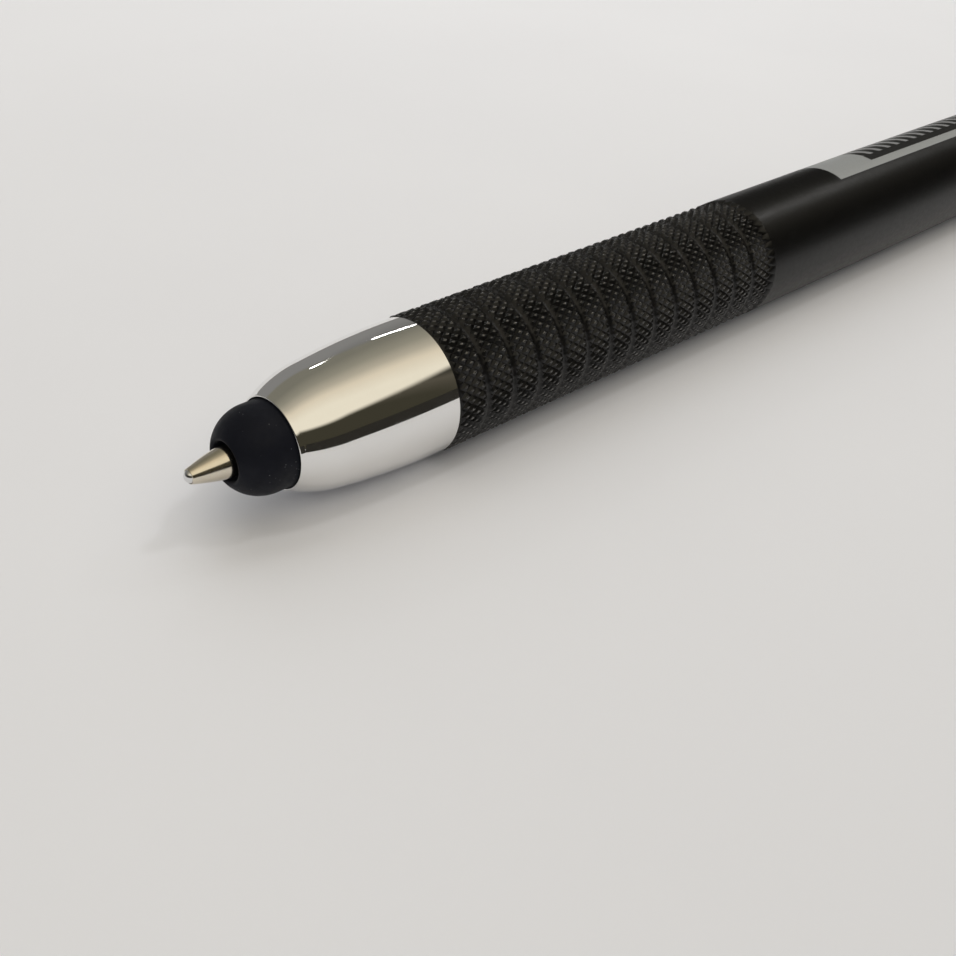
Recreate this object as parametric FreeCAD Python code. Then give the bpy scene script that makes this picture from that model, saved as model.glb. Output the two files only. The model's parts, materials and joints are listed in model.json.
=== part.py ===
import FreeCAD
import Part
import math
import os

# Retractable ballpoint pen with a rubber stylus at the writing end, all sizes in mm.
# It is drawn standing along X, writing point at x = 0 and push button at the far end, with
# the clip towards +Z. At the end it is rolled onto the table as it would lie by itself.
# Radii end in _r, and places along the axis are measured from the ball's front.

# driving sizes
refill_length = 98.1
refill_r = 2.95
barrel_r = 5.4
grip_start = 19.75
grip_length = 37.9
retract_travel = 5.5
button_r = 3.0
button_out = 6.5
collar_length = 12.0
clip_length = 37.95

# clearances
running_fit = 0.05
slide_fit = 0.1
seat_gap = 0.1
clip_gap = 0.2
rest_gap = 0.03
hole_gap = 0.3

# writing point and refill
ball_r = 0.5
ball_shown = 0.3
point_lip_r = 0.55
point_cone_bulge = 0.04
point_cone_length = 2.95
shank_r = 1.15
shank_end = 11.0
ink_duct_r = 0.35
nozzle_start = 9.0
nozzle_r = 1.5
nozzle_bore_r = 0.7
refill_shoulder = 26.0
nozzle_flange = 0.8
nozzle_plug = 4.0
refill_wall = 0.3
refill_bore_r = refill_r - refill_wall
plug_head = 2.1
plug_spigot = 4.0
plug_vent_r = 0.5
plug_flute_count = 6
plug_flute_r = 0.5
refill_tube_end = refill_length - plug_head
air_space = 18.0
ink_end = refill_tube_end - air_space
ink_seal_length = 3.0

# click mechanism, radii from the refill outwards
rib_count = 4
rib_width = 36.0
spline_width = 24.0
spline_bite = 0.55
guide_tube_wall = 0.6
rib_r = refill_r + slide_fit
cam_core_r = rib_r - slide_fit
spline_r = max(rib_r, button_r) + spline_bite
guide_bore_r = spline_r + slide_fit
barrel_bore_r = guide_bore_r + guide_tube_wall
rotor_stub_r = 1.2
button_wall = 0.6
thrust_stem_r = button_r - button_wall

# click mechanism, places along the axis from the refill's end backwards
step_angle = 180.0 / rib_count
ramp_gap = 0.3
ramp_x = refill_length + 4.9
spline_start = refill_length + 1.4
rotor_end = refill_length + 9.1
rotor_stub = 3.3
crown_teeth = 8
crown_depth = 0.8
crown_gap = 0.2
thrust_start = rotor_end + crown_gap
thrust_spline_start = thrust_start + 1.1
thrust_spline_end = thrust_spline_start + 4.4
thrust_shoulder = thrust_spline_end + 0.6
guide_start = refill_tube_end
guide_wall_start = thrust_spline_end + retract_travel + seat_gap
guide_wall = 2.0

# barrel
barrel_past_guide_wall = 0.5
barrel_end = guide_wall_start + barrel_past_guide_wall
barrel_taper = 0.16
barrel_end_r = barrel_r - barrel_taper
edge_break = 0.15
knurl_groove_first = 2.9
knurl_groove_pitch = 2.74
knurl_groove_width = 0.5
knurl_groove_depth = 0.2
knurl_groove_count = 1 + int((grip_length - knurl_groove_first) / knurl_groove_pitch)

# button and collar
collar_end = barrel_end + collar_length
collar_wall = 4.0
guide_end = collar_end - collar_wall
collar_taper = 0.74
collar_end_r = barrel_end_r - collar_taper
collar_bulge = 0.28
collar_edge = 0.4
button_start = guide_wall_start + 1.5
button_end = collar_end + button_out
button_edge = 1.1
thrust_end = button_start + 10.0

# stylus and nose
stylus_r = 3.24
stylus_centre = 5.85
stylus_hole_r = shank_r + hole_gap
stylus_pocket_r = stylus_r + running_fit
stylus_skirt_start = 8.0
core_start = 5.0
core_wall = 0.7
core_bore_r = nozzle_r + slide_fit
core_r = core_bore_r + core_wall
core_flange = 1.0
nose_start = 6.85
nose_lip = 0.1
nose_step = 12.0
nose_step_down = 0.1
nose_end_r = barrel_r - nose_step_down
nose_knee = (10.6, nose_end_r - 0.61)
nose_front_bulge = 0.18
nose_rear_bulge = 0.155
nose_wall = 0.6
nose_shell_front_r = stylus_pocket_r + 0.66
spring_seat = 14.0
bush_length = 8.0
bush_wall = 0.65
bush_start = grip_start + edge_break
spigot_r = barrel_bore_r - bush_wall
spigot_length = 7.25
spring_bore_r = refill_r + 1.5 * slide_fit

# return spring
spring_wire_r = 0.2
spring_r = nozzle_r + 0.8
spring_turns = 7
spring_play = 0.02

# clip: heights of its middle line above the barrel's surface, places back from its root
clip_thickness = 0.9
clip_width = 5.0
clip_tip_width = 4.0
clip_tab_width = 3.0
clip_tab_top = barrel_r + 0.94
clip_root_x = barrel_end + 3.15
clip_root_axis_z = barrel_bore_r + clip_gap + clip_thickness / 2
clip_root_z = barrel_r + 2.44
clip_front_x = clip_root_x - clip_length + 6.8
clip_front_z = barrel_r + 2.04
clip_bump_x = clip_root_x - clip_length + 3.4
clip_bump_drop = 0.17
clip_tip_x = clip_root_x - clip_length
clip_tip_z = barrel_r + 1.94
clip_bends = (1.2, 6.0, 2.0)
ahead_of_clip = 1.2
taper_start = clip_tip_x - ahead_of_clip

ORIGIN = FreeCAD.Vector(0, 0, 0)
AXIS = FreeCAD.Vector(1, 0, 0)
ACROSS = FreeCAD.Vector(0, 1, 0)


def spot(place):
    """A point (x, r) of an outline, in the plane above the axis."""
    return FreeCAD.Vector(place[0], 0, place[1])


def bulged(start, end, sagitta):
    """The middle of an arc from start to end that stands sagitta proud of its chord."""
    chord = spot(end) - spot(start)
    side = FreeCAD.Vector(-chord.z, 0, chord.x).normalize() * sagitta
    middle = (spot(start) + spot(end)) * 0.5 + side
    return (middle.x, middle.z)


def crowned(end_x, rim):
    """The middle of an arc from rim to the axis at end_x, square to the axis there."""
    rise = end_x - rim[0]
    radius = (rise ** 2 + rim[1] ** 2) / (2 * rise)
    half_turn = math.asin(rim[1] / radius) / 2
    return (end_x - radius * (1 - math.cos(half_turn)), radius * math.sin(half_turn))


def outline(start, steps):
    """A closed face. A step of one point is a straight run, a step of two is an arc."""
    edges = []
    here = start
    for step in steps:
        there = step[-1]
        if len(step) == 2:
            edges.append(Part.Arc(spot(here), spot(step[0]), spot(there)).toShape())
        else:
            edges.append(Part.LineSegment(spot(here), spot(there)).toShape())
        here = there
    edges.append(Part.LineSegment(spot(here), spot(start)).toShape())
    return Part.Face(Part.Wire(edges))


def turned(start, *steps):
    """A solid turned about the pen's axis."""
    return outline(start, steps).revolve(ORIGIN, AXIS, 360)


def tube(start_x, end_x, outer_r, inner_r=0.0):
    """A plain tube, or a rod where it has no bore."""
    rod = Part.makeCylinder(outer_r, end_x - start_x, FreeCAD.Vector(start_x, 0, 0), AXIS)
    if inner_r:
        rod = rod.cut(Part.makeCylinder(inner_r, end_x - start_x, FreeCAD.Vector(start_x, 0, 0), AXIS))
    return rod


def around(shape, count, first=0.0):
    """Copies of a shape at even angles about the axis."""
    copies = []
    for number in range(count):
        copy = shape.copy()
        copy.rotate(ORIGIN, AXIS, first + 360.0 * number / count)
        copies.append(copy)
    return copies


def sector(start_x, end_x, outer_r, inner_r, width):
    """A slice of a tube, width degrees wide, centred above the axis."""
    length = end_x - start_x
    piece = Part.makeCylinder(outer_r, length, ORIGIN, FreeCAD.Vector(0, 0, 1), width)
    piece = piece.cut(Part.makeCylinder(inner_r, length))
    piece.rotate(ORIGIN, FreeCAD.Vector(0, 0, 1), 180 - width / 2)
    piece.rotate(ORIGIN, ACROSS, 90)
    piece.translate(FreeCAD.Vector(start_x, 0, 0))
    return piece


def prism(corners, low, high):
    """A straight prism on corners (x, y), from height low to high."""
    points = [FreeCAD.Vector(x, y, low) for x, y in corners]
    face = Part.Face(Part.makePolygon(points + points[:1]))
    return face.extrude(FreeCAD.Vector(0, 0, high - low))


def beyond_ramp(shift, side):
    """Everything on one side of the ramp that the rotor climbs down as it turns."""
    reach = guide_bore_r
    slope = retract_travel / math.radians(step_angle) / ((rib_r + spline_r) / 2)
    far = ramp_x + side * 4 * retract_travel
    near = ramp_x + shift
    corners = [(near + slope * reach, -reach), (near - slope * reach, reach), (far, reach), (far, -reach)]
    return prism(corners, 0, 2 * reach)


def tip_ball():
    return Part.makeSphere(ball_r, FreeCAD.Vector(ball_r, 0, 0))


def point_cone():
    """The metal point: a socket that holds the ball, a cone and a shank with the ink duct."""
    lip = (ball_shown, point_lip_r)
    base = (point_cone_length, shank_r)
    body = turned(
        (ball_shown, 0),
        (lip,),
        (bulged(lip, base, point_cone_bulge), base),
        ((shank_end, shank_r),),
        ((shank_end, 0),),
    )
    socket = Part.makeSphere(ball_r + running_fit / 2, FreeCAD.Vector(ball_r, 0, 0))
    return body.cut(socket).cut(tube(ball_r, shank_end, ink_duct_r))


def refill_nozzle():
    """The narrow front of the refill, with the shoulder that the spring pushes on."""
    flange_end = refill_shoulder + nozzle_flange
    body = tube(nozzle_start, refill_shoulder, nozzle_r)
    body = body.fuse(tube(refill_shoulder, flange_end, refill_r))
    body = body.fuse(tube(flange_end, flange_end + nozzle_plug, refill_bore_r)).removeSplitter()
    body = body.cut(tube(nozzle_start, shank_end, shank_r))
    return body.cut(tube(shank_end, flange_end + nozzle_plug, nozzle_bore_r))


def refill_tube():
    return tube(refill_shoulder + nozzle_flange, refill_tube_end, refill_r, refill_bore_r)


def refill_ink():
    return tube(refill_shoulder + nozzle_flange + nozzle_plug, ink_end, refill_bore_r)


def ink_seal():
    return tube(ink_end, ink_end + ink_seal_length, refill_bore_r)


def refill_plug():
    """The fluted plug that closes the refill, with its air vent."""
    body = tube(refill_tube_end - plug_spigot, refill_tube_end, refill_bore_r)
    body = body.fuse(tube(refill_tube_end, refill_length, refill_r)).removeSplitter()
    flute = tube(refill_tube_end, refill_length, plug_flute_r)
    flute.translate(FreeCAD.Vector(0, 0, refill_r))
    for groove in around(flute, plug_flute_count):
        body = body.cut(groove)
    return body.cut(tube(refill_tube_end - plug_spigot, refill_length, plug_vent_r))


def return_spring():
    """A round-wire coil between the nose insert and the refill's shoulder."""
    front = spring_seat + spring_wire_r
    length = refill_shoulder - spring_wire_r - spring_play - front
    path = Part.makeHelix(length / spring_turns, length, spring_r)
    ring = Part.makeCircle(spring_wire_r, FreeCAD.Vector(spring_r, 0, 0), ACROSS)
    coil = Part.Wire(path).makePipeShell([Part.Wire(ring)], True, True)
    coil.rotate(ORIGIN, ACROSS, 90)
    coil.translate(FreeCAD.Vector(front, 0, 0))
    return coil


def stylus_dome():
    """The rubber dome, with the hole that the point comes out of and a skirt in the nose."""
    skirt_end = nose_step - core_flange
    lean = math.sqrt(stylus_r ** 2 - stylus_hole_r ** 2)
    shoulder = stylus_r * math.sqrt(0.5)
    return turned(
        (core_start, stylus_hole_r),
        ((stylus_centre - lean, stylus_hole_r),),
        ((stylus_centre - shoulder, shoulder), (stylus_centre, stylus_r)),
        ((stylus_skirt_start, stylus_r),),
        ((stylus_skirt_start, stylus_pocket_r),),
        ((skirt_end, stylus_pocket_r),),
        ((skirt_end, core_r),),
        ((core_start, core_r),),
    )


def stylus_core():
    """The flanged tube that the rubber dome is moulded on."""
    body = tube(core_start, nose_step, core_r)
    body = body.fuse(tube(nose_step - core_flange, nose_step, stylus_pocket_r)).removeSplitter()
    return body.cut(tube(core_start, nose_step, core_bore_r))


def nose_cone():
    """The plated shell: a rounded lip round the rubber, then a long ogive up to the grip."""
    lip_out = (nose_start + nose_lip, stylus_pocket_r + 2 * nose_lip)
    rear = (grip_start, nose_end_r)
    return turned(
        (nose_start + nose_lip, stylus_pocket_r),
        ((nose_start, stylus_pocket_r + nose_lip), lip_out),
        (bulged(lip_out, nose_knee, nose_front_bulge), nose_knee),
        (bulged(nose_knee, rear, nose_rear_bulge), rear),
        ((grip_start, nose_end_r - nose_wall),),
        ((nose_step, nose_shell_front_r),),
        ((nose_step, stylus_pocket_r),),
    )


def nose_insert():
    """The moulded core of the nose: spring seat in front, male thread behind."""
    body = turned(
        (nose_step, 0),
        ((nose_step, nose_shell_front_r),),
        ((grip_start, nose_end_r - nose_wall),),
        ((grip_start, 0),),
    )
    body = body.fuse(tube(grip_start, grip_start + spigot_length, spigot_r)).removeSplitter()
    body = body.cut(tube(nose_step, spring_seat, core_bore_r + seat_gap))
    return body.cut(tube(spring_seat, grip_start + spigot_length, spring_bore_r))


def thread_bush():
    """The brass bush pressed into the barrel, which the nose insert screws into."""
    return tube(bush_start, bush_start + bush_length, barrel_bore_r, spigot_r)


def barrel_tube():
    """One turned tube: a grip with ring grooves, a straight stretch, and a slight taper under
    the clip."""
    body = turned(
        (grip_start, barrel_bore_r),
        ((grip_start, barrel_r - edge_break),),
        ((grip_start + edge_break, barrel_r),),
        ((taper_start, barrel_r),),
        ((barrel_end, barrel_end_r),),
        ((barrel_end, barrel_bore_r),),
    )
    for number in range(knurl_groove_count):
        middle = grip_start + knurl_groove_first + number * knurl_groove_pitch
        side = knurl_groove_width / 2
        ring = tube(middle - side, middle + side, 2 * barrel_r, barrel_r - knurl_groove_depth)
        body = body.cut(ring)
    return body


def cam_guide():
    """The sleeve that the click mechanism runs in: ribs with ramps, and a neck for the collar."""
    body = tube(guide_start, guide_wall_start, barrel_bore_r, guide_bore_r)
    body = body.fuse(tube(guide_wall_start, guide_end, barrel_bore_r, button_r + slide_fit))
    relief = tube(guide_wall_start + guide_wall, guide_end, button_r + 2 * slide_fit)
    body = body.cut(relief)
    inside_wall = (guide_bore_r + barrel_bore_r) / 2
    rib = sector(spline_start, guide_wall_start, inside_wall, rib_r, rib_width)
    rib = rib.cut(beyond_ramp(ramp_gap, -1))
    for copy in around(rib, rib_count):
        body = body.fuse(copy)
    return body.removeSplitter()


def crown(end_x, side):
    """The notches of a face of cam teeth. side is the way that the face looks along X."""
    half = cam_core_r * math.sin(math.pi / crown_teeth)
    deep = end_x - side * crown_depth
    notch = prism([(end_x, -half), (deep, 0), (end_x, half)], 0, 2 * cam_core_r)
    return around(notch, crown_teeth)


def rotor_cam():
    """The rotor: splines with ramps at their rear, a crown of cam teeth and a centring stub."""
    body = tube(refill_length + seat_gap, rotor_end, cam_core_r)
    inside_core = (cam_core_r + rotor_stub_r) / 2
    spline = sector(spline_start, guide_wall_start, spline_r, inside_core, spline_width)
    spline = spline.cut(beyond_ramp(0, 1))
    for copy in around(spline, rib_count):
        body = body.fuse(copy)
    for notch in crown(rotor_end, 1):
        body = body.cut(notch)
    return body.fuse(tube(refill_length + seat_gap, rotor_end + rotor_stub, rotor_stub_r)).removeSplitter()


def thrust_tube():
    """The button's inner end: cam teeth towards the rotor, and splines that keep it from turning."""
    body = tube(thrust_start, thrust_shoulder, cam_core_r)
    body = body.fuse(tube(thrust_shoulder, thrust_end, thrust_stem_r)).removeSplitter()
    inside_core = (cam_core_r + rotor_stub_r) / 2
    spline = sector(thrust_spline_start, thrust_spline_end, spline_r, inside_core, spline_width)
    for copy in around(spline, rib_count, step_angle):
        body = body.fuse(copy)
    for notch in crown(thrust_start, -1):
        body = body.cut(notch)
    return body.cut(tube(thrust_start, thrust_start + rotor_stub + crown_gap, rotor_stub_r + slide_fit))


def push_button():
    """A turned button with a rounded edge and a slightly domed end, bored for the thrust tube."""
    edge = (button_end - button_edge, button_r)
    rim = (button_end - button_edge / 2, button_r - button_edge / 2)
    body = turned(
        (button_start, 0),
        ((button_start, button_r),),
        (edge,),
        (bulged(edge, rim, button_edge / 10), rim),
        (crowned(button_end, rim), (button_end, 0)),
    )
    return body.cut(tube(button_start, thrust_end, thrust_stem_r))


def top_collar():
    """The plated cap on the guide's neck, with the slot that the clip's tab stands in."""
    rear = (collar_end - collar_edge, collar_end_r)
    body = turned(
        (barrel_end, barrel_bore_r),
        ((barrel_end, barrel_end_r),),
        (bulged((barrel_end, barrel_end_r), rear, collar_bulge), rear),
        (bulged(rear, (collar_end, collar_end_r - collar_edge), collar_edge / 5),
         (collar_end, collar_end_r - collar_edge)),
        ((collar_end, button_r + slide_fit),),
        ((guide_end, button_r + slide_fit),),
        ((guide_end, barrel_bore_r),),
    )
    side = clip_thickness / 2 + clip_gap
    half = clip_tab_width / 2 + clip_gap
    front = clip_root_x - side
    rear = clip_root_x + side
    corners = [(front, -half), (rear, -half), (rear, half), (front, half)]
    return body.cut(prism(corners, barrel_bore_r / 2, 2 * barrel_r))


def rounded_run(points, radii, offset):
    """Edges of a path with rounded corners, offset sideways, as an ordered list."""
    corners = [spot(p) for p in points]
    ways = [(b - a).normalize() for a, b in zip(corners, corners[1:])]
    sides = [FreeCAD.Vector(-w.z, 0, w.x) * offset for w in ways]
    here = corners[0] + sides[0]
    edges = []
    for corner, radius, before, after, side, next_side in zip(
            corners[1:-1], radii, ways, ways[1:], sides, sides[1:]):
        turn = before.getAngle(after)
        setback = radius * math.tan(turn / 2)
        start = corner - before * setback + side
        end = corner + after * setback + next_side
        inward = (after - before).normalize()
        centre = corner + inward * (radius / math.cos(turn / 2))
        middle = centre - inward * (start - centre).Length
        edges.append(Part.LineSegment(here, start).toShape())
        edges.append(Part.Arc(start, middle, end).toShape())
        here = end
    edges.append(Part.LineSegment(here, corners[-1] + sides[-1]).toShape())
    return edges


def clip():
    """A bent strip: a tab in the collar's slot, a long arm, a bump on the barrel and a raised tip."""
    half = clip_thickness / 2
    bump_z = barrel_r + seat_gap + half - clip_bump_drop
    points = [
        (clip_root_x, clip_root_axis_z),
        (clip_root_x, clip_root_z),
        (clip_front_x, clip_front_z),
        (clip_bump_x, bump_z),
        (clip_tip_x, clip_tip_z),
    ]
    outer = rounded_run(points, clip_bends, half)
    inner = rounded_run(points, clip_bends, -half)
    foot = spot(points[0])
    tip = spot(points[-1])
    way = (tip - spot(points[-2])).normalize()
    foot_round = Part.Arc(inner[0].Vertexes[0].Point, foot - FreeCAD.Vector(0, 0, half),
                          outer[0].Vertexes[0].Point).toShape()
    tip_round = Part.Arc(outer[-1].Vertexes[1].Point, tip + way * half,
                         inner[-1].Vertexes[1].Point).toShape()
    side_view = Part.Wire(Part.__sortEdges__(outer + inner + [foot_round, tip_round]))
    strip = Part.Face(side_view).extrude(ACROSS * clip_width)
    strip.translate(ACROSS * (-clip_width / 2))

    wide = clip_width / 2
    narrow = clip_tip_width / 2
    tip_end = clip_tip_x + way.x * half
    rear = clip_root_x + clip_thickness
    plan_points = [FreeCAD.Vector(x, y, 0) for x, y in (
        (rear, -wide), (rear, wide), (tip_end + narrow, narrow), (tip_end + narrow, -narrow))]
    nose = Part.Arc(plan_points[2], FreeCAD.Vector(tip_end, 0, 0), plan_points[3]).toShape()
    ends = ((3, 0), (0, 1), (1, 2))
    straight = [Part.LineSegment(plan_points[a], plan_points[b]).toShape() for a, b in ends]
    plan = Part.Face(Part.Wire(Part.__sortEdges__(straight + [nose])))
    strip = strip.common(plan.extrude(FreeCAD.Vector(0, 0, 2 * clip_root_z)))

    for side in (-1, 1):
        inner_y = side * clip_tab_width / 2
        outer_y = side * clip_width
        beside = [(clip_root_x - clip_thickness, inner_y), (rear, inner_y), (rear, outer_y),
                  (clip_root_x - clip_thickness, outer_y)]
        strip = strip.cut(prism(beside, 0, clip_tab_top))
    return strip


PIECES = [
    tip_ball, point_cone, refill_nozzle, refill_tube, refill_ink, ink_seal, refill_plug,
    return_spring, stylus_dome, stylus_core, nose_cone, nose_insert, thread_bush, barrel_tube,
    cam_guide, rotor_cam, thrust_tube, push_button, top_collar, clip,
]


def resting_roll():
    """The roll in degrees that brings the clip's lower edge down to the table."""
    height = clip_root_z + clip_thickness / 2
    width = clip_width / 2
    reach = math.hypot(height, width)
    from_down = math.atan2(width, height) + math.acos((barrel_r - rest_gap) / reach)
    return math.degrees(from_down) - 180


def main():
    os.makedirs("parts", exist_ok=True)
    solids = {make.__name__: make() for make in PIECES}
    for solid in solids.values():
        solid.rotate(ORIGIN, AXIS, resting_roll())
    box = Part.makeCompound(list(solids.values())).BoundBox
    place = FreeCAD.Vector(-box.Center.x, -box.Center.y, barrel_r)
    for name, solid in solids.items():
        solid.translate(place)
        solid.exportStep("parts/" + name + ".step")
    print("axis at", place, "roll", resting_roll())


main()
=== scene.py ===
import json
import math

import bmesh
import bpy
from mathutils import Matrix, Vector

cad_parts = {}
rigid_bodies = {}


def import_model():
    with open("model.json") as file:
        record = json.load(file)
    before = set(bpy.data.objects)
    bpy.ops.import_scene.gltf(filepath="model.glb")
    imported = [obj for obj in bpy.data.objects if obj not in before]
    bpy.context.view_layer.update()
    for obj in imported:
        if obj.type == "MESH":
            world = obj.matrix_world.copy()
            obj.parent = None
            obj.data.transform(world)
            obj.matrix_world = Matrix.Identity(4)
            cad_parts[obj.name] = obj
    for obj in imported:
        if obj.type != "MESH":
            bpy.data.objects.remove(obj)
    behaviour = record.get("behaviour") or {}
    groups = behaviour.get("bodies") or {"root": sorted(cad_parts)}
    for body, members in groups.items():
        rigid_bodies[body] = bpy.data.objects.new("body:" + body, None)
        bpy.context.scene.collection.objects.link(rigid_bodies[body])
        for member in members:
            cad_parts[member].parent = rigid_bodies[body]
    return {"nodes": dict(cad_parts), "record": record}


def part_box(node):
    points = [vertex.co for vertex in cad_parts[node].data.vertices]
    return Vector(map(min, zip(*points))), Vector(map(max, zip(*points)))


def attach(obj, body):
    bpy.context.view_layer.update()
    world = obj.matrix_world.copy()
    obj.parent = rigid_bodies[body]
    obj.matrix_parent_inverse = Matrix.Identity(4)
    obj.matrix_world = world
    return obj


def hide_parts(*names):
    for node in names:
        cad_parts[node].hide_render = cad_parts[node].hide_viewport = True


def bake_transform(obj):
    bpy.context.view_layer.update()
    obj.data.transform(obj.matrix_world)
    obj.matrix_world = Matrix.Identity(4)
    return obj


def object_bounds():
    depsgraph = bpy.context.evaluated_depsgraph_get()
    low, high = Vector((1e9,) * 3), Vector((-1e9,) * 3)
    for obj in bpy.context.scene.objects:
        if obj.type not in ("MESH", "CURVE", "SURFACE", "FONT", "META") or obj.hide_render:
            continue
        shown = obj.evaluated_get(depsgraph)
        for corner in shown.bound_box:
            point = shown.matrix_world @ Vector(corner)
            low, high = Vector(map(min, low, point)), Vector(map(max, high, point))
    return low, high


for spare in list(bpy.data.objects):  # the start-up cube, lamp and camera
    bpy.data.objects.remove(spare)

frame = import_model()
cadLow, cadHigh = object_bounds()
print("frame loaded, CAD box", [round(v * 1000, 2) for v in cadHigh - cadLow], "mm")

mm = 0.001
gripStart = 19.75  # the barrel's front face, in millimetres behind the pen's front
nodes = frame["nodes"]
mounts = {mount["name"]: Vector(mount["pos_m"]) for mount in frame["record"]["mounts"]}
axisSpot = mounts["barrel_pin"]
penFront = Vector((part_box("barrel_tube")[0].x - gripStart * mm, axisSpot.y, axisSpot.z))
alongPen = Vector((1, 0, 0))
clipSide = mounts["clip_gap"] - axisSpot
clipSide.x = 0
clipSide.normalize()
labelSide = alongPen.cross(clipSide)
penTurn = Matrix((clipSide, labelSide, alongPen)).transposed()
penEuler = penTurn.to_euler()


# camera

view = {
    "place": (-0.104708, -0.061462, 0.053234),
    "turn": (55.64, -4.174, -43.962),
    "lens": 47.726, "near": 0.005, "far": 20,
}
bpy.ops.object.camera_add(location=view["place"], rotation=[math.radians(a) for a in view["turn"]])
camera = bpy.context.object
camera.data.lens = view["lens"]
camera.data.clip_start = view["near"]
camera.data.clip_end = view["far"]
bpy.context.scene.camera = camera
bpy.context.scene.view_settings.view_transform = "Standard"


# floor, and a low dark strip beside the pen that is seen only in the metal: a painted dark reflection on the
# chrome, which casts no shade

paper = {"width": 3.0, "below": 0.00002}
strip = {"place": (0.03, -0.053, 0.007), "length": 0.22, "height": 0.014, "colour": (0.028, 0.025, 0.019)}


def clearPick():
    if bpy.context.object and bpy.context.object.mode == "EDIT":
        bpy.ops.object.mode_set(mode="OBJECT")
    bpy.ops.object.select_all(action="DESELECT")


clearPick()
bpy.ops.mesh.primitive_plane_add(size=paper["width"], location=(0, 0, cadLow.z - paper["below"]))
paperSheet = bpy.context.object
paperSheet.name = "paperSheet"

# this strip paints a dark band into the chrome's reflection; camera, diffuse light and shadows pass it by
bpy.ops.mesh.primitive_plane_add(size=1, location=strip["place"], rotation=(math.radians(90), 0, 0))
paintedDarkReflection = bpy.context.object
paintedDarkReflection.name = "paintedDarkReflection"
paintedDarkReflection.scale = (strip["length"], strip["height"], 1)
paintedDarkReflection.visible_camera = False
paintedDarkReflection.visible_diffuse = False
paintedDarkReflection.visible_shadow = False


# lamps: the broad soft ones only shade, the small ones also shine on the metal

lampAim = Vector((-0.04, 0, 0))
tubeWhite = (1.0, 0.99, 0.97)
light = {
    "window": {
        "toward": (0.418, -0.213, 0.883), "distance": 0.9, "size": (0.09, 0.07),
        "power": 0.62, "colour": (0.95, 0.97, 1.0), "mirrored": False,
    },
    "ceiling": {
        "toward": (0.42, 0.5, 0.75), "distance": 0.34, "size": (0.4, 0.4),
        "power": 0.62, "colour": (0.91, 0.93, 0.97), "mirrored": False,
    },
    "fill": {
        "toward": (-0.1, -0.35, 0.9), "distance": 0.8, "size": (0.7, 0.7),
        "power": 0.55, "colour": (0.89, 0.91, 0.96), "mirrored": False,
    },
    "side": {
        "toward": (-0.55, -0.65, 0.5), "distance": 1.5, "size": (1.2, 1.2),
        "power": 5.2, "colour": (0.89, 0.91, 0.97), "mirrored": False,
    },
    "tube": {
        "toward": (0.55, 0.64, 0.54), "distance": 0.9, "size": (0.10, 0.012),
        "power": 0.10, "colour": tubeWhite, "mirrored": True,
    },
    "shortTube": {
        "toward": (0.36, 0.70, 0.61), "distance": 0.9, "size": (0.05, 0.014),
        "power": 0.045, "colour": tubeWhite, "mirrored": True,
    },
    "pane": {
        "toward": (0.80, -0.01, 0.60), "distance": 0.9, "size": (0.12, 0.08),
        "power": 0.27, "colour": tubeWhite, "mirrored": True,
    },
}
for name, panel in light.items():
    way = Vector(panel["toward"]).normalized()
    turn = way.to_track_quat("Z", "Y").to_euler()
    bpy.ops.object.light_add(type="AREA", location=lampAim + way * panel["distance"], rotation=turn)
    lamp = bpy.context.object
    lamp.name = name
    lamp.data.shape = "RECTANGLE"
    lamp.data.size, lamp.data.size_y = panel["size"]
    lamp.data.energy = panel["power"]
    lamp.data.color = panel["colour"]
    lamp.visible_glossy = panel["mirrored"]


# room: a wall above a low part, each coloured by how far a direction leans across the pen, -1 to 1

room = {
    "strength": 1.0, "wallStart": 0.50, "wallFull": 0.61,
    "rearStart": 0.64, "rearFull": 0.78, "rearShare": 0.35,  # it is darker off the rear end
    "wall": (
        (-0.5, (0.92, 0.845, 0.675)), (-0.2, (0.79, 0.695, 0.53)), (0.0, (0.50, 0.45, 0.35)),
        (0.25, (0.31, 0.29, 0.225)), (0.55, (0.205, 0.195, 0.155)),
    ),
    "low": (
        (-0.8, (0.050, 0.045, 0.030)), (-0.68, (0.10, 0.088, 0.065)), (-0.6, (0.032, 0.030, 0.022)),
        (-0.3, (0.026, 0.025, 0.020)), (0.1, (0.06, 0.057, 0.05)), (0.5, (0.12, 0.118, 0.11)),
        (0.8, (0.24, 0.235, 0.225)),
    ),
}
world = bpy.data.worlds.new("softRoom")
bpy.context.scene.world = world
world.use_nodes = True


def rangeNode(tree, value, low, high, newLow=0.0, newHigh=1.0):
    node = tree.nodes.new("ShaderNodeMapRange")
    tree.links.new(value, node.inputs["Value"])
    numbers = {"From Min": low, "From Max": high, "To Min": newLow, "To Max": newHigh}
    for socket, number in numbers.items():
        node.inputs[socket].default_value = number
    return node


def mixNode(tree, amount, first, second):
    node = tree.nodes.new("ShaderNodeMix")
    node.data_type = "RGBA"
    tree.links.new(amount, node.inputs["Factor"])
    for socket, colour in ((node.inputs[6], first), (node.inputs[7], second)):  # its two colours
        if isinstance(colour, tuple):
            socket.default_value = (*colour, 1)
        else:
            tree.links.new(colour, socket)
    return node.outputs[2]


def acrossRamp(tree, value, stops):
    ramp = tree.nodes.new("ShaderNodeValToRGB")
    tree.links.new(rangeNode(tree, value, -1, 1).outputs["Result"], ramp.inputs["Fac"])
    marks = ramp.color_ramp.elements
    while len(marks) < len(stops):
        marks.new(0.5)
    for mark, (place, colour) in zip(marks, stops):
        mark.position = (place + 1) / 2
        mark.color = (*colour, 1)
    return ramp.outputs["Color"]


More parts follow.
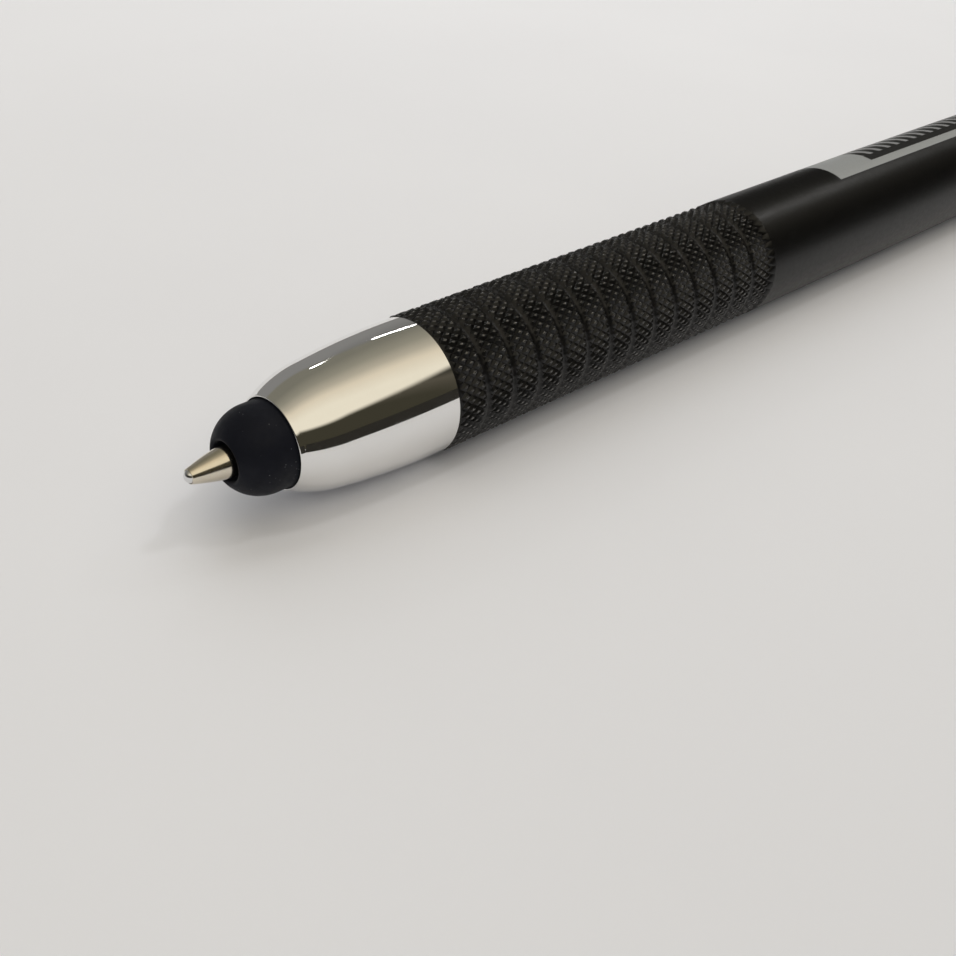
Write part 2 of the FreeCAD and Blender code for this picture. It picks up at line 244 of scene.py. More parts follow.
def lightRoom(tree):
    way = tree.nodes.new("ShaderNodeTexCoord")
    lean = tree.nodes.new("ShaderNodeSeparateXYZ")
    tree.links.new(way.outputs["Generated"], lean.inputs["Vector"])
    rise = rangeNode(tree, lean.outputs["Z"], room["wallStart"], room["wallFull"])
    rise.interpolation_type = "SMOOTHSTEP"
    low = acrossRamp(tree, lean.outputs["Y"], room["low"])
    wall = acrossRamp(tree, lean.outputs["Y"], room["wall"])
    back = tree.nodes["Background"]
    tree.links.new(mixNode(tree, rise.outputs["Result"], low, wall), back.inputs["Color"])
    full, dim = room["strength"], room["strength"] * room["rearShare"]
    rear = rangeNode(tree, lean.outputs["X"], room["rearStart"], room["rearFull"], full, dim)
    tree.links.new(rear.outputs["Result"], back.inputs["Strength"])


lightRoom(world.node_tree)
print("camera, floor and light")


# finishes


class Finish:
    # a material with its nodes at hand; spot gives millimetres from the pen's front, along Z
    def __init__(self, name, **settings):
        self.material = bpy.data.materials.new(name)
        self.material.use_nodes = True
        self.tree = self.material.node_tree
        self.nodes = self.tree.nodes
        self.links = self.tree.links
        self.shader = self.nodes["Principled BSDF"]
        for socket, value in settings.items():
            self.shader.inputs[socket.replace("_", " ")].default_value = value
        self.material.diffuse_color = self.shader.inputs["Base Color"].default_value
        place = self.nodes.new("ShaderNodeTexCoord")
        turn = self.nodes.new("ShaderNodeMapping")
        back = penTurn.transposed()
        turn.inputs["Location"].default_value = back @ penFront * -1000
        turn.inputs["Rotation"].default_value = back.to_euler()
        turn.inputs["Scale"].default_value = (1000, 1000, 1000)
        self.links.new(place.outputs["Object"], turn.inputs["Vector"])
        self.spot = turn.outputs["Vector"]

    def stretch(self, x, y, z):
        turn = self.nodes.new("ShaderNodeMapping")
        turn.inputs["Scale"].default_value = (x, y, z)
        self.links.new(self.spot, turn.inputs["Vector"])
        return turn.outputs["Vector"]

    def noise(self, scale, detail=2.0, vector=None, rough=0.5):
        node = self.nodes.new("ShaderNodeTexNoise")
        node.inputs["Scale"].default_value = scale
        node.inputs["Detail"].default_value = detail
        node.inputs["Roughness"].default_value = rough
        self.links.new(vector or self.spot, node.inputs["Vector"])
        return node.outputs["Fac"]

    def cells(self, scale):
        node = self.nodes.new("ShaderNodeTexVoronoi")
        node.inputs["Scale"].default_value = scale
        self.links.new(self.spot, node.inputs["Vector"])
        return node.outputs["Distance"]

    def calc(self, operation, *values):
        node = self.nodes.new("ShaderNodeMath")
        node.operation = operation
        for slot, value in enumerate(values):
            if isinstance(value, (int, float)):
                node.inputs[slot].default_value = value
            else:
                self.links.new(value, node.inputs[slot])
        return node.outputs["Value"]

    def spread(self, value, low, high, newLow=0.0, newHigh=1.0):
        return rangeNode(self.tree, value, low, high, newLow, newHigh).outputs["Result"]

    def parts(self):
        node = self.nodes.new("ShaderNodeSeparateXYZ")
        self.links.new(self.spot, node.inputs["Vector"])
        return node.outputs["X"], node.outputs["Y"], node.outputs["Z"]

    def radius(self):
        x, y, _ = self.parts()
        return self.calc("SQRT", self.calc("ADD", self.calc("MULTIPLY", x, x), self.calc("MULTIPLY", y, y)))

    def angle(self):
        x, y, _ = self.parts()
        return self.calc("ARCTAN2", x, y)  # 0 on the label's middle line

    def blend(self, amount, first, second):
        return mixNode(self.tree, amount, first, second)

    def colour(self, output):
        self.links.new(output, self.shader.inputs["Base Color"])

    def gloss(self, output):
        self.links.new(output, self.shader.inputs["Roughness"])

    def relief(self, height, distance, strength):
        node = self.nodes.new("ShaderNodeBump")
        node.inputs["Strength"].default_value = strength
        node.inputs["Distance"].default_value = distance * mm
        self.links.new(height, node.inputs["Height"])
        self.links.new(node.outputs["Normal"], self.shader.inputs["Normal"])


paperLook = {"low": (0.765, 0.769, 0.80), "high": (0.815, 0.819, 0.847), "cloud": 0.02, "fibre": 2.2}


def paperFinish():
    white = Finish("whitePaper", Roughness=0.85)
    white.colour(white.blend(white.noise(paperLook["cloud"], 3.0), paperLook["low"], paperLook["high"]))
    fibre = white.noise(paperLook["fibre"], 4.0, white.stretch(1, 0.35, 1), 0.65)
    white.relief(fibre, 0.02, 0.35)
    return white.material


lacquerLook = {
    "low": (0.0012, 0.0012, 0.0014), "high": (0.0022, 0.0021, 0.0021), "satin": (0.33, 0.41),
    "bare": (0.165, 0.161, 0.156), "bareShare": 0.85, "bareGloss": 0.2,  # worn tips of the knurl
    "wearStart": 5.345, "wearFull": 5.38, "waver": 0.02, "gripEnd": 57.3, "plainFrom": 57.5,
    "dust": (0.011, 0.009, 0.0085), "dustMost": 0.8, "dustBelow": (5.22, 5.30),
}


def barrelFinish():
    look = lacquerLook
    black = Finish("blackLacquer", Specular_IOR_Level=0.3)
    _, _, along = black.parts()
    waver = black.spread(black.noise(1.1), 0.3, 0.7, -look["waver"], look["waver"])
    crest = black.calc("ADD", black.radius(), waver)
    worn = black.spread(crest, look["wearStart"], look["wearFull"])
    onGrip = black.spread(along, look["gripEnd"], look["plainFrom"], 1.0, 0.0)
    bare = black.calc("MULTIPLY", black.calc("MULTIPLY", worn, onGrip), look["bareShare"])
    lower = black.spread(black.radius(), *look["dustBelow"], 1.0, 0.0)
    specks = black.spread(black.noise(1.6, 4.0, None, 0.7), 0.45, 0.75, 0.0, look["dustMost"])
    base = black.blend(black.noise(0.35, 3.0), look["low"], look["high"])
    dusty = black.blend(black.calc("MULTIPLY", lower, specks), base, look["dust"])
    black.colour(black.blend(bare, dusty, look["bare"]))
    black.links.new(bare, black.shader.inputs["Metallic"])
    satin = black.spread(black.noise(2.4, 3.0), 0.3, 0.7, *look["satin"])
    black.gloss(black.calc("SUBTRACT", satin, black.calc("MULTIPLY", bare, look["bareGloss"])))
    black.relief(black.noise(9.0, 3.0), 0.006, 0.35)
    return black.material


printLook = {
    "greyLow": (0.27, 0.28, 0.28), "greyHigh": (0.33, 0.34, 0.34), "tick": (0.26, 0.265, 0.27),
    "darkLow": (0.012, 0.012, 0.012), "darkHigh": (0.02, 0.02, 0.02),
    "pitch": 1.75, "slant": 1.4, "tickHalf": 0.2, "rowHalf": 0.36,
}


def labelFinish():
    grey = Finish("greyPrint", Roughness=0.42)
    grey.colour(grey.blend(grey.noise(5.0, 3.0), printLook["greyLow"], printLook["greyHigh"]))
    grey.relief(grey.noise(14.0, 2.0), 0.004, 0.3)
    return grey.material


def insetFinish():
    # a row of plain slanted ticks fills the dark field
    dark = Finish("darkPrint", Roughness=0.34)
    _, _, along = dark.parts()
    angle = dark.angle()
    slant = dark.calc("ADD", along, dark.calc("MULTIPLY", angle, printLook["slant"]))
    beat = dark.calc("FRACT", dark.calc("DIVIDE", slant, printLook["pitch"]))
    bar = dark.calc("COMPARE", beat, 0.5, printLook["tickHalf"])
    inRow = dark.calc("COMPARE", angle, 0.0, printLook["rowHalf"])
    base = dark.blend(dark.noise(3.0), printLook["darkLow"], printLook["darkHigh"])
    dark.colour(dark.blend(dark.calc("MULTIPLY", bar, inRow), base, printLook["tick"]))
    dark.relief(dark.noise(12.0, 2.0), 0.004, 0.3)
    return dark.material


def chromeFinish(name, colour, low, high):
    chrome = Finish(name, Metallic=1.0, Roughness=low)
    chrome.colour(chrome.blend(chrome.noise(0.5, 3.0), colour, tuple(c * 0.95 for c in colour)))
    smudge = chrome.noise(0.7, 5.0, None, 0.6)
    chrome.gloss(chrome.spread(smudge, 0.45, 0.7, low, high))
    scratch = chrome.noise(3.0, 2.0, chrome.stretch(0.4, 0.4, 6.0))
    chrome.relief(scratch, 0.0012, 0.25)
    return chrome.material


def turnedMetal(name, colour, rough, lines):
    metal = Finish(name, Metallic=1.0, Roughness=rough)
    metal.colour(metal.blend(metal.noise(1.3, 3.0), colour, tuple(c * 0.86 for c in colour)))
    metal.gloss(metal.spread(metal.noise(2.0, 3.0), 0.3, 0.7, rough * 0.8, rough * 1.3))
    metal.relief(metal.noise(lines, 2.0, metal.stretch(0.05, 0.05, 1.0)), 0.003, 0.4)
    return metal.material


rubberLook = {
    "low": (0.0030, 0.0038, 0.0075), "high": (0.0055, 0.0065, 0.012), "rough": (0.54, 0.7),
    "fleck": (0.20, 0.20, 0.205), "fleckSize": (0.05, 0.12), "fleckPatch": (0.54, 0.60),
}


def rubberFinish():
    soft = Finish("matteRubber", Roughness=0.62, Specular_IOR_Level=0.18,
                  Sheen_Weight=0.03, Sheen_Roughness=0.4)
    base = soft.blend(soft.noise(0.8, 3.0), rubberLook["low"], rubberLook["high"])
    near = soft.spread(soft.cells(3.4), *rubberLook["fleckSize"], 1.0, 0.0)
    patch = soft.spread(soft.noise(0.55, 2.0), *rubberLook["fleckPatch"])
    soft.colour(soft.blend(soft.calc("MULTIPLY", near, patch), base, rubberLook["fleck"]))
    soft.gloss(soft.spread(soft.noise(1.5, 3.0), 0.3, 0.7, *rubberLook["rough"]))
    soft.relief(soft.noise(11.0, 4.0, None, 0.6), 0.012, 0.5)
    return soft.material


def mouldedPlastic(name, first, second, rough):
    plastic = Finish(name, Roughness=rough)
    plastic.colour(plastic.blend(plastic.noise(0.9, 3.0), first, second))
    plastic.gloss(plastic.spread(plastic.noise(3.0, 2.0), 0.3, 0.7, rough - 0.06, rough + 0.08))
    plastic.relief(plastic.noise(16.0, 3.0), 0.005, 0.4)
    return plastic.material


def pasteInk():
    ink = Finish("inkPaste", Roughness=0.22)
    ink.colour(ink.blend(ink.noise(1.2, 3.0), (0.010, 0.011, 0.035), (0.02, 0.022, 0.06)))
    ink.relief(ink.noise(3.0, 3.0), 0.01, 0.3)
    return ink.material


paperSheet.data.materials.append(paperFinish())
# the strip's dark colour is a painted reflection, seen only in the metal
paintedDarkReflection.data.materials.append(mouldedPlastic("paintedReflectionCard", strip["colour"], strip["colour"], 0.8))
lacquer = barrelFinish()
greyPrint = labelFinish()
darkPrint = insetFinish()
noseChrome = chromeFinish("noseChrome", (0.865, 0.86, 0.85), 0.035, 0.09)
rearChrome = chromeFinish("rearChrome", (0.84, 0.835, 0.825), 0.04, 0.10)
pointMetal = turnedMetal("pointMetal", (0.80, 0.735, 0.62), 0.16, 9.0)
ballSteel = turnedMetal("ballSteel", (0.80, 0.80, 0.81), 0.09, 7.0)
brass = turnedMetal("turnedBrass", (0.78, 0.60, 0.30), 0.22, 6.0)
refillSteel = turnedMetal("refillSteel", (0.70, 0.70, 0.71), 0.26, 4.0)
springSteel = turnedMetal("springSteel", (0.62, 0.62, 0.64), 0.2, 8.0)
rubber = rubberFinish()
whitePlastic = mouldedPlastic("whitePlastic", (0.74, 0.74, 0.71), (0.80, 0.80, 0.78), 0.4)
blackPlastic = mouldedPlastic("blackPlastic", (0.016, 0.016, 0.017), (0.028, 0.028, 0.028), 0.42)
sealGrease = mouldedPlastic("sealGrease", (0.60, 0.57, 0.42), (0.70, 0.67, 0.52), 0.28)
print("finishes")


# helpers for turned pieces; a station is (x, r), millimetres behind the pen's front and off its axis

weld = 0.0015  # corners closer than this are one
poleR = 0.0005


def penSpot(x, r=0.0):
    return penFront + alongPen * x * mm + clipSide * r * mm


def arcRun(start, end, sagitta, count):
    # stations of an arc from start to end that stands sagitta proud of its chord
    (x0, r0), (x1, r1) = start, end
    length = math.hypot(x1 - x0, r1 - r0)
    radius = (length ** 2 / 4 + sagitta ** 2) / (2 * sagitta)
    ux, ur = (x1 - x0) / length, (r1 - r0) / length
    stations = []
    for number in range(1, count + 1):
        along = length * (number / count - 0.5)
        rise = math.sqrt(radius ** 2 - along ** 2) - (radius - sagitta)
        past = along + length / 2
        stations.append((x0 + ux * past - ur * rise, r0 + ur * past + ux * rise))
    return stations


def ballRun(centre, radius, first, last, count):
    # stations on a sphere, from one angle to another in degrees, 0 at the front pole
    angles = [math.radians(first + (last - first) * number / count) for number in range(count + 1)]
    return [(centre - radius * math.cos(a), radius * math.sin(a)) for a in angles]


def dropPick(mesh):
    for part in (mesh.faces, mesh.edges, mesh.verts):
        for item in part:
            item.select_set(False)


def pickOnly(mesh, items, test):
    dropPick(mesh)
    for item in items:
        if test(item):
            item.select_set(True)


def stepOn(here, there):
    # carries the picked ring on to the next station
    bpy.ops.mesh.extrude_edges_move(TRANSFORM_OT_translate={"value": alongPen * (there[0] - here[0]) * mm})
    ratio = there[1] / here[1]
    bpy.ops.transform.resize(value=(1, ratio, ratio), center_override=penSpot(there[0]))


def startRing(name, x, r, sides):
    # a ring round the pen, left in edit mode and picked all over
    clearPick()
    bpy.ops.mesh.primitive_circle_add(vertices=sides, radius=r * mm, location=penSpot(x), rotation=penEuler)
    shape = bpy.context.object
    shape.name = shape.data.name = name
    bpy.ops.object.transform_apply()
    bpy.ops.object.mode_set(mode="EDIT")
    bpy.ops.mesh.select_all(action="SELECT")
    return shape


def faceOut():
    bpy.ops.mesh.select_all(action="SELECT")
    bpy.ops.mesh.normals_make_consistent(inside=False)


def turnShape(name, stations, sides):
    # a closed turned piece; the first or last station may be a pole on the axis
    stations = [(x, max(r, poleR)) for x, r in stations]
    shape = startRing(name, *stations[0], sides)
    for here, there in zip(stations, stations[1:]):
        stepOn(here, there)
    bpy.ops.mesh.select_all(action="SELECT")
    bpy.ops.mesh.remove_doubles(threshold=weld * mm)
    faceOut()
    bpy.ops.object.mode_set(mode="OBJECT")
    return shape


def smoothed(piece, angle):
    clearPick()
    bpy.context.view_layer.objects.active = piece
    piece.select_set(True)
    bpy.ops.object.shade_smooth_by_angle(angle=math.radians(angle))
    return piece


def seat(piece, body, slot, *standsFor, finish=None):
    if finish:
        piece.data.materials.append(finish)
    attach(piece, body)
    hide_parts(*standsFor)
    print("piece", piece.name, len(piece.data.polygons), "faces")


# nose

nose = {
    "lip": (6.85, 3.29), "lipEdge": 0.1, "knee": (10.6, 4.69), "rear": (19.75, 5.3), "rearEdge": 0.05,
    "rimStart": 0.06, "rimDrop": 0.002, "frontBulge": 0.18, "rearBulge": 0.155, "wall": 0.6,
    "step": (12.0, 3.95), "sides": 160,
}


def makeNose():
    x, r = nose["lip"]
    rearX, rearR = nose["rear"]
    edge = nose["lipEdge"]
    outer = (x + edge, r + 2 * edge)
    turns = [math.pi * n / 8 for n in range(9)]
    lip = [(x + edge - edge * math.sin(t), r + edge - edge * math.cos(t)) for t in turns]
    rim = (rearX - nose["rimStart"], rearR - nose["rimDrop"])
    stations = lip + arcRun(outer, nose["knee"], nose["frontBulge"], 14)
    stations += arcRun(nose["knee"], rim, nose["rearBulge"], 18)
    stations += [(rearX, rearR - nose["rearEdge"]), (rearX, rearR - nose["wall"]), nose["step"]]
    stations += [(nose["step"][0], r), lip[0]]
    return smoothed(turnShape("nosePlated", stations, nose["sides"]), 35)


seat(makeNose(), "barrel", "nose_chrome", "nose_cone", finish=noseChrome)


# rubber dome

dome = {
    "centre": 5.85, "r": 3.24, "hole": 1.45, "holeEdge": 0.16, "skirt": 8.0, "pocket": 3.29,
    "step": 0.05, "end": 11.0, "core": 2.3, "coreStart": 5.0, "sides": 128,
}


def makeDome():
    edge, step = dome["holeEdge"], dome["step"]
    holeAngle = math.degrees(math.asin((dome["hole"] + edge) / dome["r"]))
    outside = ballRun(dome["centre"], dome["r"], holeAngle + 2, 90, 26)
    start = (outside[0][0] + edge * 1.1, dome["hole"])
    turnIn = arcRun(start, outside[0], edge * 0.34, 6)[:-1]
    stations = [(dome["coreStart"], dome["hole"]), start, *turnIn, *outside]
    stations += [(dome["skirt"] - step * 0.8, dome["r"]), (dome["skirt"], dome["pocket"] - step / 5)]
    stations += [(dome["skirt"] + step, dome["pocket"]), (dome["end"], dome["pocket"])]
    stations += [(dome["end"], dome["core"]), (dome["coreStart"], dome["core"]), stations[0]]
    return smoothed(turnShape("stylusRubber", stations, dome["sides"]), 40)


seat(makeDome(), "barrel", "stylus_rubber", "stylus_dome", finish=rubber)


# writing point and ball

point = {
    "lip": (0.3, 0.55), "base": (2.95, 1.15), "baseEdge": 0.08, "bulge": 0.04, "shankEnd": 11.0,
    "duct": 0.35, "ball": 0.5, "play": 0.025, "mouth": 0.02, "crimp": 0.05, "sides": 96,
}


def makePoint():
    ballX, gap = point["ball"], point["ball"] + point["play"]
    lipX, lipR = point["lip"]
    baseX, baseR = point["base"]
    crimp = point["crimp"]
    mouth = math.degrees(math.acos((ballX - lipX - point["mouth"]) / gap))
    back = 180 - math.degrees(math.asin(point["duct"] / gap))
    socket = ballRun(ballX, gap, mouth, back, 9)
    outside = [(lipX, lipR - crimp * 0.8), (lipX + crimp * 0.3, lipR - crimp * 0.3), (lipX + crimp, lipR)]
    outside += arcRun(outside[-1], point["base"], point["bulge"], 14)
    outside += [(baseX + point["baseEdge"], baseR), (point["shankEnd"], baseR), (point["shankEnd"], point["duct"])]
    stations = list(reversed(socket)) + outside + [socket[-1]]
    return smoothed(turnShape("pointTurned", stations, point["sides"]), 35)


def makeBall():
    clearPick()
    reach = point["ball"] * mm
    bpy.ops.mesh.primitive_cube_add(size=reach, location=penSpot(point["ball"]))
    ball = bpy.context.object
    ball.name = ball.data.name = "ballGround"
    bpy.ops.object.mode_set(mode="EDIT")
    bpy.ops.mesh.select_all(action="SELECT")
    bpy.ops.mesh.subdivide(number_cuts=11)
    bpy.ops.object.mode_set(mode="OBJECT")
    rounder = ball.modifiers.new("rounder", "CAST")
    rounder.factor = 1.0
    rounder.radius = 0
    rounder.size = reach
    rounder.use_radius_as_size = False
    bpy.ops.object.modifier_apply(modifier=rounder.name)
    bpy.ops.object.transform_apply()
    return smoothed(ball, 60)


seat(makePoint(), "refill", "point_metal", "point_cone", finish=pointMetal)
seat(makeBall(), "ball", "steel_ball", "tip_ball", finish=ballSteel)


# barrel with its knurled grip

barrel = {
    "r": 5.4, "bore": 4.3, "end": 119.0, "endR": 5.24, "taper": 83.0, "sides": 44, "finer": 3, "edge": 0.06,
    "knurlStart": 19.91, "row": 1.096, "rows": 35, "floorR": 5.2, "frontEdge": (0.02, 0.04),
    "firstRing": 22.65, "ringPitch": 2.74, "ringCount": 13, "ringHalf": 0.17,
    "flank": 0.62, "rise": 0.15, "crown": 0.07, "crownRise": 0.035,
    "fieldStep": 0.02, "leastKind": 3, "fullField": 0.30,
    "shoulder": 0.5, "shoulderSlope": 0.2, "rearRings": (66.0, 92.0, 98.0, 112.0),
    "label": (73.4, 104.2), "inset": (80.3, 103.3), "labelHalf": 40.3, "insetHalf": 30.85,
}
knurlEnd = barrel["knurlStart"] + barrel["rows"] * barrel["row"]
plainStart = knurlEnd + barrel["shoulder"]
ringSpots = [barrel["firstRing"] + n * barrel["ringPitch"] for n in range(barrel["ringCount"])]
atRing = 0.004  # corners this near a place belong to the ring there


def openMesh(piece):
    mesh = bmesh.from_edit_mesh(piece.data)
    mesh.verts.ensure_lookup_table()
    mesh.edges.ensure_lookup_table()
    mesh.faces.ensure_lookup_table()
    return mesh


def alongMm(co):
    return (co.x - penFront.x) / mm


def offAxis(co):
    return math.hypot(co.y - penFront.y, co.z - penFront.z) / mm


def middleOf(face):
    return face.calc_center_median()


def pushOut(vert, r):
    ratio = r / offAxis(vert.co)
    vert.co.y = penFront.y + (vert.co.y - penFront.y) * ratio
    vert.co.z = penFront.z + (vert.co.z - penFront.z) * ratio


def roundRing(piece, x, r):
    # brings every corner of the ring at x out to one radius
    for vert in openMesh(piece).verts:
        if abs(alongMm(vert.co) - x) < atRing:
            pushOut(vert, r)
    bmesh.update_edit_mesh(piece.data)


def pickEndRing(piece, x):
    mesh = openMesh(piece)
    pickOnly(mesh, mesh.edges,
             lambda e: e.is_boundary and all(abs(alongMm(v.co) - x) < atRing for v in e.verts))
    bmesh.update_edit_mesh(piece.data)


def onGrip(face):
    return alongMm(middleOf(face)) < knurlEnd - barrel["row"] * 0.25


def inGroove(face):
    return any(abs(alongMm(middleOf(face)) - ringX) < barrel["ringHalf"] for ringX in ringSpots)


def fieldKind(face):
    # how wide a field is, in steps; fields of one kind rise alike
    return round(2 * face.calc_area() / face.calc_perimeter() / mm / barrel["fieldStep"])


def layOutDiamonds(tube):
    # a net of fields, a point in every field, then the fields' own edges go
    start, row, floorR = barrel["knurlStart"], barrel["row"], barrel["floorR"]
    for number in range(barrel["rows"]):
        stepOn((start + number * row, floorR), (start + (number + 1) * row, floorR))
    faceOut()
    mesh = openMesh(tube)
    if sum(f.normal.dot(middleOf(f) - penSpot(alongMm(middleOf(f)))) for f in mesh.faces) < 0:
        bpy.ops.mesh.flip_normals()
    sag = floorR * (1 - math.cos(math.pi / barrel["sides"]))
    bpy.ops.mesh.poke(offset=sag * mm)

    def onRow(co):
        place = (alongMm(co) - start) / row
        return abs(place - round(place)) < 0.01

    mesh = openMesh(tube)
    pickOnly(mesh, mesh.edges, lambda e: not e.is_boundary and all(onRow(v.co) for v in e.verts))
    bmesh.update_edit_mesh(tube.data)
    bpy.ops.mesh.select_mode(type="EDGE")
    bpy.ops.mesh.dissolve_edges(use_verts=False, use_face_split=False)

    # ring grooves are cut through the diamonds while these are still flat
    for ringX in ringSpots:
        for cut in (ringX - barrel["ringHalf"], ringX + barrel["ringHalf"]):
            bpy.ops.mesh.select_all(action="SELECT")
            bpy.ops.mesh.bisect(plane_co=penSpot(cut), plane_no=alongPen, threshold=1e-7)

    # the plain barrel starts in the gaps of the last half diamonds
    pickEndRing(tube, knurlEnd)
    stepOn((knurlEnd, floorR), (plainStart, floorR))
    bpy.ops.mesh.select_mode(type="FACE")


def raiseDiamonds(tube):
    # each kind of field gets its flanks, then the small crown that wears bright
    kinds = sorted({fieldKind(f) for f in openMesh(tube).faces if onGrip(f) and not inGroove(f)})
    for kind in kinds:
        if kind < barrel["leastKind"]:
            continue  # slivers beside a groove stay flat
        mesh = openMesh(tube)
        done = mesh.faces.layers.int.get("done") or mesh.faces.layers.int.new("done")
        mesh.faces.ensure_lookup_table()
        pickOnly(mesh, mesh.faces,
                 lambda f: not f[done] and onGrip(f) and not inGroove(f) and fieldKind(f) == kind)
        chosen = [f for f in mesh.faces if f.select]
        if not chosen:
            continue
        for face in chosen:
            face[done] = 1
        bmesh.update_edit_mesh(tube.data)
        size = kind * barrel["fieldStep"]
        share = min(1.0, size / barrel["fullField"])
        bpy.ops.mesh.inset(thickness=size * barrel["flank"] * mm, depth=barrel["rise"] * share * mm,
                           use_individual=True, use_even_offset=True)
        bpy.ops.mesh.inset(thickness=barrel["crown"] * share * mm, depth=barrel["crownRise"] * share * mm,
                           use_individual=True, use_even_offset=True)


def raiseShoulder(tube):
    # where the grip ends, the barrel steps up to its full radius
    topR, floorR = barrel["r"], barrel["floorR"]
    mesh = openMesh(tube)
    pickOnly(mesh, mesh.faces, lambda f: not onGrip(f))
    bmesh.update_edit_mesh(tube.data)
    bpy.ops.mesh.inset(thickness=barrel["shoulderSlope"] * mm, depth=(topR - floorR) * mm,
                       use_boundary=False, use_even_offset=True)
    for face in openMesh(tube).faces:
        if face.select:
            for vert in face.verts:
                if alongMm(vert.co) > knurlEnd + barrel["shoulder"] * 0.7:
                    vert.co.x = penSpot(plainStart).x
                pushOut(vert, topR)
    bmesh.update_edit_mesh(tube.data)
    bpy.ops.mesh.select_mode(type="EDGE")


def finerRing(tube, x, r):
    bpy.ops.mesh.subdivide(number_cuts=barrel["finer"])
    roundRing(tube, x, r)
    pickEndRing(tube, x)


def runRear(tube):
    # straight stretch, taper and rear edge, with rings where the panel starts and ends
    topR, end, edge = barrel["r"], barrel["end"], barrel["edge"]

    def outerR(x):
        return topR - (topR - barrel["endR"]) * max(0.0, x - barrel["taper"]) / (end - barrel["taper"])

    pickEndRing(tube, plainStart)
    finerRing(tube, plainStart, topR)
    marks = sorted([*barrel["label"], *barrel["inset"], barrel["taper"], *barrel["rearRings"], end - edge])
    places = [(plainStart, topR)] + [(x, outerR(x)) for x in marks] + [(end, outerR(end) - edge)]
    for here, there in zip(places, places[1:]):
        stepOn(here, there)


def runBore(tube):
    # front face, then the bore, joined to the rear edge
    floorR, bore = barrel["floorR"], barrel["bore"]
    lean, drop = barrel["frontEdge"]
    front = (gripStart + lean, floorR)
    pickEndRing(tube, barrel["knurlStart"])
    stepOn((barrel["knurlStart"], floorR), front)
    finerRing(tube, *front)
    places = [front, (gripStart, floorR - drop), (gripStart, bore), (barrel["end"], bore)]
    for here, there in zip(places, places[1:]):
        stepOn(here, there)
    mesh = openMesh(tube)
    pickOnly(mesh, mesh.edges, lambda e: e.is_boundary)
    bmesh.update_edit_mesh(tube.data)
    bpy.ops.mesh.bridge_edge_loops()
    faceOut()


def printPanel(tube):
    for finish in (lacquer, greyPrint, darkPrint):
        tube.data.materials.append(finish)
    bpy.ops.mesh.select_mode(type="FACE")

    def onPanel(face, stretch, half):
        middle = middleOf(face)
        off = middle - penSpot(alongMm(middle))
        turn = math.degrees(math.atan2(off.dot(clipSide), off.dot(labelSide)))
        outside = offAxis(middle) > (barrel["r"] + barrel["bore"]) / 2
        return outside and stretch[0] < alongMm(middle) < stretch[1] and abs(turn) < half

    panels = ((1, barrel["label"], barrel["labelHalf"]), (2, barrel["inset"], barrel["insetHalf"]))
    for slot, stretch, half in panels:
        mesh = openMesh(tube)
        pickOnly(mesh, mesh.faces, lambda f: onPanel(f, stretch, half))
        bmesh.update_edit_mesh(tube.data)
        tube.active_material_index = slot
        bpy.ops.object.material_slot_assign()


def makeBarrel():
    tube = startRing("barrelKnurled", barrel["knurlStart"], barrel["floorR"], barrel["sides"])
    for stage in (layOutDiamonds, raiseDiamonds, raiseShoulder, runRear, runBore, printPanel):
        stage(tube)
    bpy.ops.object.mode_set(mode="OBJECT")
    tube.data.attributes.remove(tube.data.attributes["done"])
    return smoothed(tube, 48)


seat(makeBarrel(), "barrel", "barrel_black", "barrel_tube")


# collar and button

collar = {
    "start": 119.0, "startR": 5.24, "frontEdge": 0.06, "end": 131.0, "endR": 4.5, "bulge": 0.28, "edge": 0.4,
    "neck": 127.0, "neckR": 4.3, "mouth": 3.1, "mouthEdge": (0.05, 0.12),
    "slotX": 122.15, "slotR": 5.3, "slotSize": (4.0, 3.4, 1.3), "sides": 144,
}
button = {
    "start": 120.0, "end": 137.5, "r": 3.0, "edge": 1.1, "startEdge": 0.05,
    "bore": 2.4, "boreEnd": 130.0, "crownSteps": 12, "sides": 128,
}


def makeCollar():
    start, end, edge, soft = collar["start"], collar["end"], collar["edge"], collar["frontEdge"]
    neck, neckR, mouth = collar["neck"], collar["neckR"], collar["mouth"]
    mouthX, mouthR = collar["mouthEdge"]
    rear = (end - edge, collar["endR"])
    stations = [(start, neckR), (start, collar["startR"] - soft), (start + soft, collar["startR"])]
    stations += arcRun(stations[-1], rear, collar["bulge"], 22)
    stations += arcRun(rear, (end, collar["endR"] - edge), edge / 5, 8)
    stations += [(end, mouth + mouthR), (end - mouthX, mouth), (neck, mouth), (neck, neckR), stations[0]]
    cap = turnShape("collarPlated", stations, collar["sides"])
    clearPick()
    bpy.ops.mesh.primitive_cube_add(size=1, location=penSpot(collar["slotX"], collar["slotR"]), rotation=penEuler)
    cutter = bpy.context.object
    cutter.scale = [length * mm for length in collar["slotSize"]]
    bpy.ops.object.transform_apply()
    clearPick()
    bpy.context.view_layer.objects.active = cap
    cap.select_set(True)
    slotCut = cap.modifiers.new("slotCut", "BOOLEAN")
    slotCut.operation = "DIFFERENCE"
    slotCut.solver = "EXACT"
    slotCut.object = cutter
    bpy.ops.object.modifier_apply(modifier=slotCut.name)
    bpy.data.objects.remove(cutter)
    return smoothed(cap, 30)


